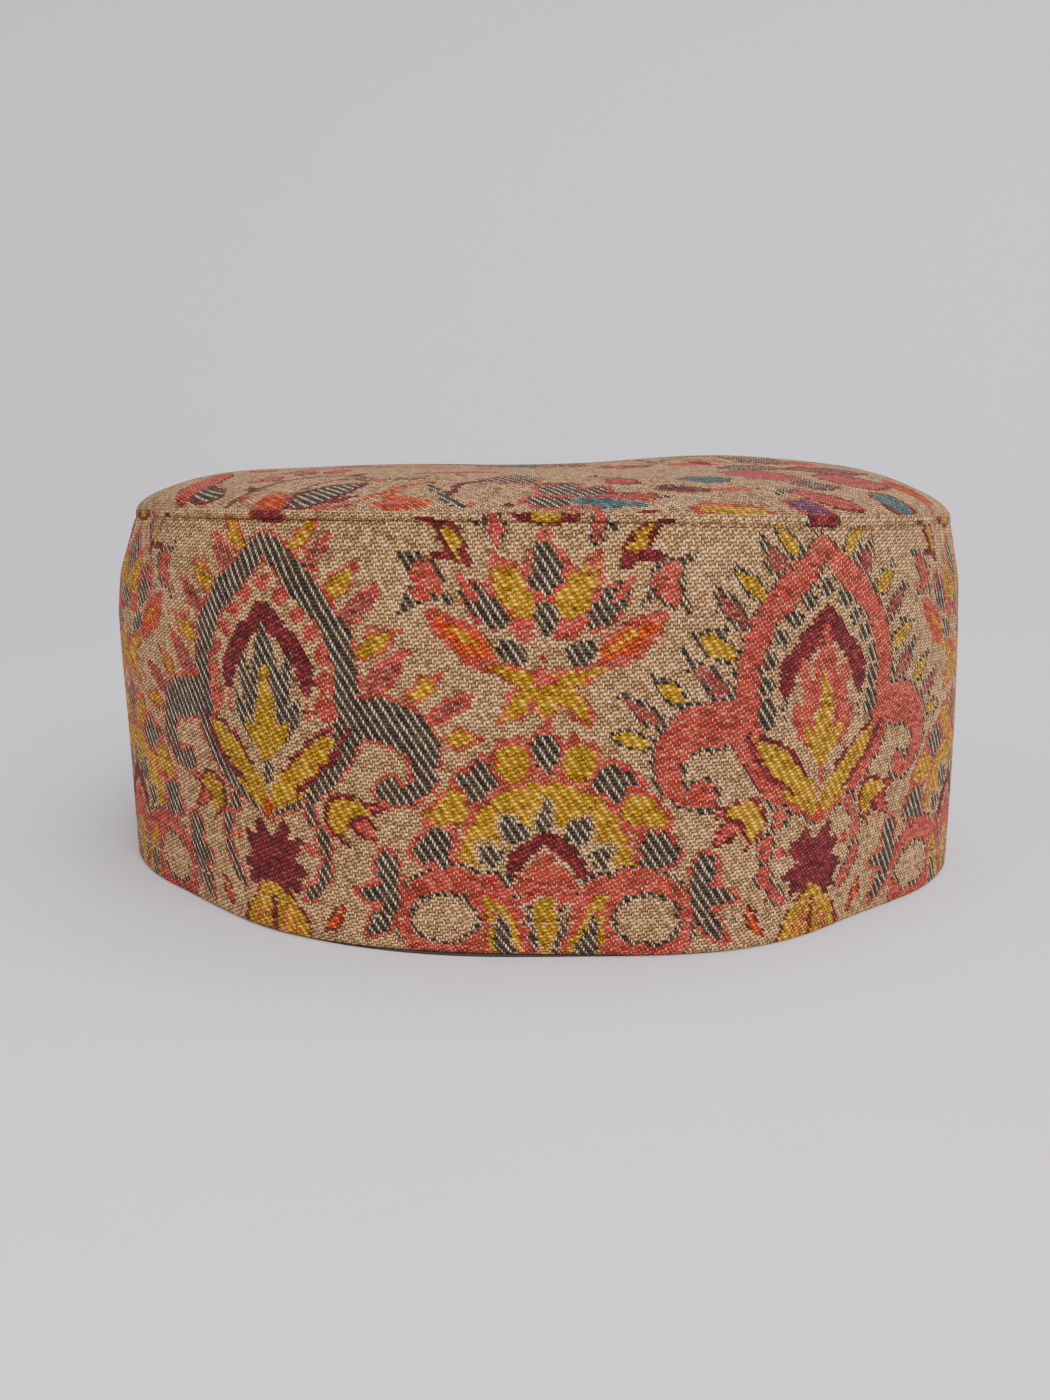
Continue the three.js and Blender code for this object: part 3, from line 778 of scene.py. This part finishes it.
# How far the cloth stands out from the plain wall: slow folds and puckers, the seam's ditch and the swell
# under it, the hem's dip, corners that lean down from the seam, and one crease.
def bandRelief(turn, height):
    ditch, hem = ditchAt(turn), height - band["hemHeight"]
    nearSeam, nearHem = bell((ditch - height) / 9), bell(hem / 4)
    a = np.radians(turn)
    out = foldsAt(turn, height, *band["folds"]) + foldsAt(turn, height, *band["seamFolds"]) * nearSeam
    out = out + band["puckers"] * np.sin(a * 97 + 1.5 * np.sin(a * 5)) * nearSeam
    out = out + band["hemPuckers"] * np.sin(a * 125) * nearHem
    out = out - band["ditchDeep"] * bell((height - ditch) / band["ditchTall"]) * seamShows(turn)
    up, below, tall = band["shoulder"]
    out = out + up * bell((height - ditch + below) / tall)
    out = out - band["hemDip"] * bell(hem / band["hemDipTall"])
    for at, lean, up, wide in band["corners"]:
        away = turnTo(turn, at) - (cap["seamHeight"] - height) * lean
        fall = np.where(away * lean > 0, wide * 0.6, wide * 1.6)
        out = out + up * bell(away / fall) * softStep((height - 50) / 20)
    x0, y0, x1, y1, deep, wide = band["crease"]
    perDegree = band["perDegree"]
    along, away = alongLine(turnTo(turn, x0) * perDegree, height - y0, (x1 - x0) * perDegree, y1 - y0)
    return out - deep * (1 - along ** 2) * bell(away / wide)


# The band's outer face: the wall moved outwards, level, by its relief.
def bandAt(turn, share):
    point = wallAt(turn, share)
    return point + bandRelief(turn, point[..., 2])[..., None] * outwards(turn)


# A place round the rim, kept within half its length of the front.
def roundRim(u):
    return (u + rimLength / 2) % rimLength - rimLength / 2


# The rim is folded in by a quarter circle of 0.5 mm and lifted a little at the front. slip moves the place
# where each cell reads the chart, as the weaver's hand does.
def makeBand():
    columns, rows = band["columns"], band["rows"]
    cell = 360 / columns
    i = np.arange(columns)[None]
    j = np.arange(rows + 1)[:, None]
    topShare = band["top"] / cap["seamHeight"]

    def rimUp(turn, share):
        at, spread, up = cap["rimLift"]
        return up * bell(turnTo(turn, at) / spread) * bell(share * cap["seamHeight"] / band["liftTall"])

    share = topShare * j / rows
    belowFold = np.clip(1 - share * cap["seamHeight"] / band["fold"], 0, 1)
    foldIn = band["fold"] * (1 - np.sqrt(np.clip(1 - belowFold ** 2, 0, 1)))
    turn = cell * (i - j / 2)
    outer = bandAt(turn, share)
    outer = outer - foldIn[..., None] * outwards(turn)
    outer[..., 2] += rimUp(turn, share)
    lastTurn, firstTurn = cell * (i - rows / 2), cell * i

    def inside(turn, share, depth):
        point = wallAt(turn, share) - depth * outwards(turn)
        point[..., 2] += rimUp(turn, share)
        return point

    steps = np.linspace(topShare, 0.012, band["innerRows"])[:, None]
    turns = lastTurn + (firstTurn - lastTurn) * (1 - steps / topShare)
    inner = inside(turns, steps + 0 * i, band["thickness"])
    under = inside(firstTurn + 0 * steps[:2], np.zeros((2, 1)) + 0 * i, np.array([[[1.15]], [[0.7]]]))
    points = np.concatenate([outer, inner, under])
    rings = len(points)
    faces = ringFaces(rings, columns, True)
    backRows = np.linspace(rows, 0, band["innerRows"])
    rowV = np.concatenate([weftPitch * j.ravel(), weftPitch * backRows, [-0.4, -0.2]])
    rowShift = np.concatenate([j.ravel() / 2, backRows / 2, [0, 0]])
    ring, column = np.divmod(np.arange(len(faces)), columns)
    after = (ring + 1) % rings
    u = np.stack([column - rowShift[ring], column + 1 - rowShift[ring], column + 1 - rowShift[after],
                  column - rowShift[after]], -1) * (rimLength / columns)
    v = np.stack([rowV[ring], rowV[ring], rowV[after], rowV[after]], -1)
    slip = np.random.default_rng(8).normal(0, 1, (2, len(faces)))
    slipU, slipV = band["slip"]
    cells = bandPattern(roundRim(u.mean(1) + slipU * slip[0]), v.mean(1) + slipV * slip[1])
    thread = dyedFloats(cells, 18)
    cloth = np.stack([u, v], -1).reshape(-1, 2)
    return addPiece("kani_band", points.reshape(-1, 3), faces.tolist(), kaniMaterial, cloth, thread)


bandPiece = makeBand()
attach(bandPiece, "root"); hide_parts("side_band")
print("cap: band woven,", len(bandPiece.data.polygons), "cells")

# The roll where the band's cloth turns over the crown's edge.
roll = dict(columns=714, sides=12, top=75.75, leastTall=1.7, proud=0.42, depth=2.0, fuller=(-34, 16, 0.4),
            pull=0.10, folds=(21, 6, 0.10), under=0.8, cloth=(-1, 1.6, 3.2), clothFrom=74.2)


# A power of a sine or cosine that keeps its sign.
def signedPower(value, power):
    return np.sign(value) * np.abs(value) ** power


# Its section is a squashed oval between the ditch and the top, wavy where the stitches pull.
def makeRoll():
    columns, sides = roll["columns"], roll["sides"]
    turn = (360 / columns) * np.arange(columns)[None]
    around = (2 * np.pi / sides) * np.arange(sides)[:, None]
    a = np.radians(turn)
    high = roll["top"] + seamAt(turn) - cap["seamHeight"] + 0 * turn
    low = np.minimum(ditchAt(turn) - 0.1, high - roll["leastTall"])
    pull = roll["pull"] * np.sin(a * 118 + 2 * np.sin(a * 3)) + foldsAt(turn, 0, *roll["folds"])
    relief = bandRelief(turn, seamAt(turn) - roll["under"])
    point = wallAt(turn, np.ones_like(turn)) + relief[..., None] * outwards(turn)
    at, spread, more = roll["fuller"]
    shows = seamShows(turn)
    proud = (roll["proud"] + more * bell(turnTo(turn, at) / spread) + pull) * shows
    across = proud - (roll["depth"] + proud) * (1 - signedPower(np.cos(around), 0.1 + 0.65 * shows)) / 2
    tall = (high - low) / 2 * signedPower(np.sin(around), 0.2 + 0.4 * shows)
    x = point[..., 0] + across * np.sin(a)
    y = point[..., 1] - across * np.cos(a)
    z = (high + low) / 2 + tall
    points = np.stack(np.broadcast_arrays(x, y, z), -1)
    faces = ringFaces(sides, columns, True)
    ring, column = np.divmod(np.arange(len(faces)), columns)
    u = (column[:, None] + np.array([0, 1, 1, 0])) * (rimLength / columns)
    inner, middle, outer = roll["cloth"]
    rise = np.concatenate([np.linspace(middle, outer, sides // 4 + 1),
                           np.linspace(outer, inner, sides // 2 + 1)[1:],
                           np.linspace(inner, middle, sides // 4 + 1)[1:]])
    rowV = roll["clothFrom"] + rise
    v = np.stack([rowV[ring], rowV[ring], rowV[ring + 1], rowV[ring + 1]], -1)
    outside = np.clip(v.mean(1), roll["clothFrom"], roll["clothFrom"] + outer)
    thread = dyedFloats(bandPattern(roundRim(u.mean(1)), outside), 19)
    cloth = np.stack([u, v], -1).reshape(-1, 2)
    return addPiece("seam_roll", points.reshape(-1, 3), faces.tolist(), kaniMaterial, cloth, thread)


rollPiece = makeRoll()
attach(rollPiece, "root"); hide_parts("seam_lip")
print("cap: seam rolled")

# The crown: a square grid of cells laid on a disc, domed, with a coarser skin below.
crown = dict(across=234, along=318, coarse=3, thickness=1.6, edgeUp=0.35, groove=(-40, 11, 0.7, 2.2),
             folds=(31, 9, 0.22), waves=0.25, reach=94.37, slip=0.22, paintedShade=(0.88, 0.86, 0.89),
             ridge=(-68.5, -61.0, -64.0, -34.0, 1.1, 3.2))


# Square to disc: x sqrt(1 - y^2 / 2), y sqrt(1 - x^2 / 2). Returns turn and share of the cloth's radius.
def discGrid(columns, rows):
    b, a = np.meshgrid(np.linspace(-1, 1, rows + 1), np.linspace(-1, 1, columns + 1), indexing="ij")
    x, y = a * np.sqrt(1 - b * b / 2), b * np.sqrt(1 - a * a / 2)
    return np.degrees(np.arctan2(x, -y)), np.clip(np.hypot(x, y), 0, 1)


# Share of the plan's radius for a share of the cloth's: the inverse of the length along the crown's profile.
def planShare(clothShare):
    s = 1 - np.linspace(0, 1, 2001)[::-1] ** 2.2
    r, z = 92 * s, 10 * np.sqrt(np.clip(1 - s ** 3.5, 0, None))
    along = np.concatenate([[0], np.cumsum(np.hypot(np.diff(r), np.diff(z)))])
    return np.interp(clothShare * along[-1], along, s)


# The crown's face: the dome plus slow folds that fan in from the seam, with a groove beside it and a ridge
# at the left, lowered by a depth.
def crownFace(turn, clothShare, depth):
    out = planShare(clothShare)
    point = crownAt(turn, out)
    relief = bandRelief(turn, seamAt(turn) - roll["under"]) * softStep((out - 0.85) / 0.15)
    point += relief[..., None] * outwards(turn)
    near = softStep((out - 0.55) / 0.45) * softStep((1.002 - out) / 0.04)
    point[..., 2] += foldsAt(turn, 40 * out, *crown["folds"]) * near
    waves = np.sin(point[..., 0] * 0.09 + 1) * np.sin(point[..., 1] * 0.11 + 0.4)
    point[..., 2] += crown["waves"] * waves * (1 - out ** 4)
    point[..., 2] += crown["edgeUp"] * softStep((out - 0.9) / 0.1) - depth
    at, spread, deep, wide = crown["groove"]
    point[..., 2] -= deep * bell(turnTo(turn, at) / spread) * bell((1 - out) * 93 / wide)
    x0, y0, x1, y1, up, wide = crown["ridge"]
    along, away = alongLine(point[..., 0] - x0, point[..., 1] - y0, x1 - x0, y1 - y0)
    point[..., 2] += up * bell(away / wide) * (1 - along ** 2)
    if depth:
        point[..., :2] *= 1 - depth / 95
    return point


# Faces of a grid, and the points round its edge.
def gridFaces(columns, rows):
    index = np.arange((rows + 1) * (columns + 1)).reshape(rows + 1, columns + 1)
    faces = np.stack([index[:-1, :-1], index[:-1, 1:], index[1:, 1:], index[1:, :-1]], -1).reshape(-1, 4)
    return faces, np.concatenate([index[0, :-1], index[:-1, -1], index[-1, :0:-1], index[:0:-1, 0]])


# One coarse face of the skin below spans 3 by 3 cells, and the edge joins each of its sides to 3 cells.
def makeCrown():
    columns, rows, coarse = crown["across"], crown["along"], crown["coarse"]
    turn, share = discGrid(columns, rows)
    top = crownFace(turn, share, 0.0).reshape(-1, 3)
    lowTurn, lowShare = discGrid(columns // coarse, rows // coarse)
    low = crownFace(lowTurn, lowShare, crown["thickness"]).reshape(-1, 3)
    places = [(crown["reach"] * s[..., None] * outwards(t)[..., :2]).reshape(-1, 2)
              for t, s in ((turn, share), (lowTurn, lowShare))]
    topFaces, fine = gridFaces(columns, rows)
    lowFaces, few = gridFaces(columns // coarse, rows // coarse)
    lowFaces, few = lowFaces[:, ::-1] + len(top), few + len(top)
    start = np.arange(len(few)) * coarse
    backwards = [fine[(start + coarse - k) % len(fine)] for k in range(coarse + 1)]
    edge = np.stack([few, np.roll(few, -1), *backwards], -1)
    corners = np.concatenate([topFaces.ravel(), lowFaces.ravel(), edge.ravel()])
    cloth = np.concatenate(places)[corners]
    middle = places[0][topFaces].mean(1)
    slip = np.random.default_rng(9).normal(0, crown["slip"], middle.shape)
    cells = crownPattern(*(middle + slip).T)
    plain = np.zeros(len(lowFaces) * 4 + edge.size, int)
    # Every crown colour is dimmed by the painted shade in the crown's table, so that its top reads darker.
    thread = np.concatenate([dyedFloats(cells, 20), dyeTable[plain]]) * (*crown["paintedShade"], 1)
    faces = topFaces.tolist() + lowFaces.tolist() + edge.tolist()
    return addPiece("kani_crown", np.concatenate([top, low]), faces, shadedCrownMaterial, cloth, thread)


crownPiece = makeCrown()
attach(crownPiece, "root"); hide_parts("crown_panel")
print("cap: crown woven,", len(crownPiece.data.polygons), "cells")

# The lining: a cup of thin dark cloth with soft hanging folds, seamed where its top meets its wall.
lining = dict(columns=240, wallRows=26, crownRows=22, clear=1.95, thickness=0.9, folds=0.35,
              flare=1.5, edgeTall=(0.08, 0.42), wallFrom=84)


# Its edge flares out where the rim is lifted, so that it shows there. Folds take hold above the rim.
def makeLining():
    columns = lining["columns"]
    turn = (360 / columns) * np.arange(columns)[None]
    liftAt, liftSpread, _ = cap["rimLift"]
    lifted = bell(turnTo(turn, liftAt) / liftSpread)
    least, more = lining["edgeTall"]
    edge = (least + more * lifted) / cap["seamHeight"]
    steps = np.linspace(0, 0.975, lining["wallRows"])[:, None] + 0 * turn
    wallShare = np.concatenate([steps[:1], edge, edge + 0.0008, steps[1:]])
    flare = np.concatenate([lifted, lifted, 0 * steps]) * lining["flare"]
    out = (1 - np.linspace(0.03, 0.985, lining["crownRows"]) ** 1.5)[:, None] + 0 * turn

    def face(depth, wrinkle):
        folds = foldsAt(turn, cap["seamHeight"] * wallShare, 41, 9, lining["folds"])
        inwards = depth + wrinkle * (folds + 0.3) * softStep(wallShare * 9)
        inwards = inwards + wrinkle * 0.5 * bell((wallShare - 0.93) / 0.02) - flare
        wall = wallAt(turn, wallShare) - inwards[..., None] * outwards(turn)
        top = crownAt(turn, out)
        hang = 0.5 + foldsAt(turn, 40 * out, 43, 9, lining["folds"])
        top[..., 2] -= depth + 0.25 + wrinkle * hang * (1 - out)
        top[..., :2] *= 1 - depth / 93
        wall[..., 2] = np.minimum(wall[..., 2], top[0, :, 2] - 0.4)
        return np.concatenate([wall, top])

    outside, inside = face(lining["clear"], 0.0), face(lining["clear"] + lining["thickness"], 1.0)
    rings = np.concatenate([outside[::-1], inside])
    pole = [outside[-1].mean(0), inside[-1].mean(0)]
    points = np.concatenate([rings.reshape(-1, 3), pole])
    faces = ringFaces(len(rings), columns, False)[:, [0, 3, 2, 1]]
    column = np.arange(columns)
    beside, last = (column + 1) % columns, (len(rings) - 1) * columns
    firstFan = np.stack([column, beside, np.full(columns, len(points) - 2)], -1)
    lastFan = np.stack([last + beside, last + column, np.full(columns, len(points) - 1)], -1)
    corners = np.concatenate([faces.ravel(), firstFan.ravel(), lastFan.ravel()])
    flatTurn = np.degrees(np.arctan2(points[:, 0], -points[:, 1]))
    onWall = np.hypot(points[:, 0], points[:, 1]) > lining["wallFrom"]
    wallPlace = np.stack([flatTurn * band["perDegree"], points[:, 2]], -1)
    place = np.where(onWall[:, None], wallPlace, points[:, :2])
    everyFace = faces.tolist() + firstFan.tolist() + lastFan.tolist()
    return addPiece("cap_lining", points, everyFace, liningMaterial, place[corners])


liningPiece = makeLining()
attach(liningPiece, "root"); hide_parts("lining")
print("cap: lining hung")

stitches = dict(stations=6, sides=6, hemSpan=1.0, hemThick=0.46, seamSpan=1.25, seamThick=0.3,
                seamBelow=0.3)


# Stitches: each a short bar of sewing thread, thickest in the middle by sqrt(1 - s^2), along a line on the
# cloth. turns and heights give the middle of each, and place a point on the cloth for any turn and height.
def addStitches(name, turns, heights, span, thick, sink, place, material):
    s = np.linspace(-1, 1, stitches["stations"])[None, :, None]
    around = (2 * np.pi / stitches["sides"]) * np.arange(stitches["sides"])[None, None]
    turn = turns[:, None, None] + s * span / 2
    radius = thick / 2 * (0.25 + 0.75 * np.sqrt(np.clip(1 - s ** 2, 0, 1)))
    point = place(turn, heights[:, None, None] + 0 * turn)
    a = np.radians(turn)
    out = radius * np.cos(around) - sink - thick * 0.9 * s ** 4
    up = radius * np.sin(around)
    points = np.stack(np.broadcast_arrays(point[..., 0] + out * np.sin(a), point[..., 1] - out * np.cos(a),
                                          point[..., 2] + up), -1)
    count, stations, sides = points.shape[:3]
    number = np.arange(count * stations * sides).reshape(count, stations, sides)
    ahead, beside = number[:, 1:], np.roll(number, -1, 2)
    bars = np.stack([number[:, :-1], ahead, beside[:, 1:], beside[:, :-1]], -1).reshape(-1, 4)
    ends = [number[:, 0, :], number[:, -1, ::-1]]
    length = np.linspace(0, 2, stations)[None, :, None] + 0 * number
    girth = np.arange(sides)[None, None] + 0 * number
    flat = np.stack([length, girth], -1).reshape(-1, 2)
    corners = np.concatenate([bars.ravel(), ends[0].ravel(), ends[1].ravel()])
    faces = bars.tolist() + ends[0].tolist() + ends[1].tolist()
    piece = addPiece(name, points.reshape(-1, 3), faces, material, flat[corners])
    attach(piece, "root")
    return piece


# A point of the band's outer face at a turn and a height.
def onBand(turn, height):
    return bandAt(turn, height / seamAt(turn))


count = int(rimLength / band["stitchLength"])
draw = np.random.default_rng(5)
turns = np.arange(count) * 360 / count + draw.normal(0, 0.12, count)
heights = band["hemHeight"] + 0.15 * np.sin(np.radians(turns) * 3) + draw.normal(0, 0.11, count)
hem = addStitches("hem_stitches", turns, heights, stitches["hemSpan"], stitches["hemThick"], 0.0, onBand,
                  hemThread)
hidden = (stitches["seamThick"] * (1 - seamShows(turns)))[:, None, None]
seam = addStitches("seam_stitches", turns, ditchAt(turns) - stitches["seamBelow"], stitches["seamSpan"],
                   stitches["seamThick"], hidden, onBand, seamThread)
print("cap: hem and seam stitched")

# Pale paper that the cap stands on, curving up all round into the backdrop.
paper = dict(flat=0.55, reach=1.7, rise=1.5, colour=(226, 222, 226), roughness=0.9,
             specular=0.2, creases=9.0, relief=0.004, rings=60, columns=96)


# Paper: height rise times s^3, in metres, with s the share past the flat part.
def makePaper():
    rings, columns = paper["rings"], paper["columns"]
    ring, turn = np.meshgrid(np.linspace(0.0, 1, rings) ** 1.3, np.linspace(0, 2 * np.pi, columns + 1)[:-1],
                             indexing="ij")
    r = 0.002 + paper["reach"] * ring
    s = np.clip((r - paper["flat"]) / (paper["reach"] - paper["flat"]), 0, 1)
    points = np.stack([r * np.sin(turn), -r * np.cos(turn), paper["rise"] * s ** 3], -1) * 1000
    faces = ringFaces(rings, columns, False)
    column = np.arange(columns)
    centre = np.stack([column, np.full(columns, rings * columns), (column + 1) % columns], -1)
    material, tree, shader = newMaterial("pale paper", paper["roughness"])
    shader.inputs["Base Color"].default_value = (*light(paper["colour"]), 1)
    shader.inputs["Specular IOR Level"].default_value = paper["specular"]
    where = tree.nodes.new("ShaderNodeTexCoord").outputs["Object"]
    crease = noiseAt(tree, where, paper["creases"], 4.0)
    bump(tree, shader, crease.outputs["Fac"], paper["relief"], 0.5)
    everything = np.concatenate([points.reshape(-1, 3), [[0, 0, 0]]])
    piece = addPiece("paper_floor", everything, faces.tolist() + centre.tolist(), material)


makePaper()

# The camera: a lens of 1,100 pixels on a picture 1,400 pixels tall, as focal length on a 36 mm sensor.
view = dict(place=(-3.55, -268.0, 77.0), down=10.1, roll=0.5, sensor=36, lens=1100 / 1400 * 36)
cameraData = bpy.data.cameras.new("view")
cameraData.lens, cameraData.sensor_width, cameraData.sensor_fit = view["lens"], view["sensor"], "AUTO"
cameraData.clip_start = 0.01
camera = bpy.data.objects.new("view", cameraData)
bpy.context.collection.objects.link(camera)
camera.location = Vector(view["place"]) * 0.001
camera.rotation_euler = (Matrix.Rotation(radians(90 - view["down"]), 4, "X")
                         @ Matrix.Rotation(radians(view["roll"]), 4, "Z")).to_euler()
bpy.context.scene.camera = camera


# A square soft light that looks at the cap or at another place. Places and sizes of lights are in metres.
def addLight(name, place, size, power, colour, aim=(0, 0, 0.04), spread=180):
    data = bpy.data.lights.new(name, "AREA")
    data.shape, data.size, data.energy, data.color = "SQUARE", size, power, colour
    data.spread = radians(spread)
    lamp = bpy.data.objects.new(name, data)
    lamp.location = place
    lamp.rotation_euler = (Vector(aim) - lamp.location).to_track_quat("-Z", "Y").to_euler()
    bpy.context.collection.objects.link(lamp)


addLight("window", (0.72, -0.95, 0.85), 0.9, 12.2, (1.0, 0.985, 0.97))
addLight("front", (0.05, -0.5, 0.42), 0.3, 0.32, (1.0, 1.0, 1.0), (0, -0.26, 0), 70)
addLight("room", (-0.9, -0.6, 0.85), 1.0, 3.0, (0.97, 0.98, 1.0))
addLight("backdrop", (0.3, 0.25, 1.2), 0.8, 9.4, (1.0, 1.0, 1.0), (0.15, 1.15, 0.15))
world = bpy.data.worlds.new("soft room")
world.use_nodes = True
world.node_tree.nodes["Background"].inputs["Color"].default_value = (0.93, 0.95, 1.0, 1)
world.node_tree.nodes["Background"].inputs["Strength"].default_value = 0.56
bpy.context.scene.world = world
print("cap: floor, camera and light are set")
